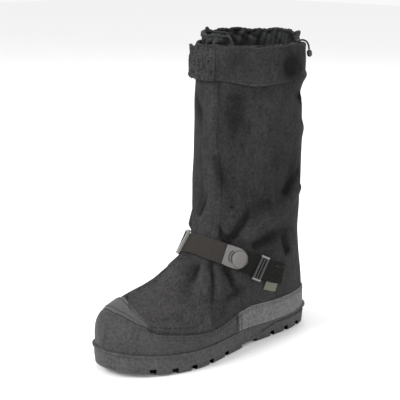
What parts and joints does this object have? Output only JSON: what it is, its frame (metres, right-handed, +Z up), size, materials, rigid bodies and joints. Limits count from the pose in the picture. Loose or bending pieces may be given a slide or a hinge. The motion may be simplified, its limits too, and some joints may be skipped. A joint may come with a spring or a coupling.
{
  "type": "winter overshoe",
  "caption": "Tall fabric winter overshoe, left foot, with a lugged rubber sole, rubber coated rand, instep strap and a gathered collar.",
  "frame": {"origin": "on the floor under the middle of the shoe's length and width", "axes": "toe along -Y, heel along +Y, lateral side along +X, +Z up the shaft"},
  "size_m": [0.1282, 0.3265, 0.3786],
  "materials": {
    "sole_rubber": "matte moulded rubber",
    "insole_board": "needled felt board",
    "shaft_fabric": "coated black nylon",
    "rand_rubber": "rubber coated fabric with a fine dot texture",
    "patch_rubber": "smooth coated fabric",
    "cuff_fabric": "double coated nylon",
    "collar_nylon": "thin glossy nylon",
    "loop_fabric": "brushed loop fabric",
    "strap_webbing": "ribbed webbing",
    "tab_rubber": "soft moulded pull tab",
    "anchor_webbing": "rough black webbing",
    "slider_plastic": "moulded plastic",
    "buckle_bright": "light grey moulded plastic",
    "buckle_plastic": "black moulded plastic",
    "label_woven": "plain woven label",
    "cord": "braided cord"
  },
  "bodies": {
    "root": {"outsole": "sole_rubber", "insole": "insole_board", "upper": "shaft_fabric", "rand_forefoot": "rand_rubber", "rand_heel": "rand_rubber", "toe_patch": "patch_rubber", "front_flap": "shaft_fabric", "cuff": "cuff_fabric", "snow_collar": "collar_nylon", "closure_tab": "loop_fabric", "strap_webbing": "strap_webbing", "strap_tab": "tab_rubber", "anchor_webbing": "anchor_webbing", "strap_slider": "slider_plastic", "label": "label_woven", "buckle_male": "buckle_bright", "buckle_female": "buckle_plastic", "buckle_webbing": "anchor_webbing", "drawcord_rear": "cord", "cord_lock": "buckle_plastic", "drawcord_front": "cord", "drawcord_knot": "cord"}
  },
  "joints": []
}
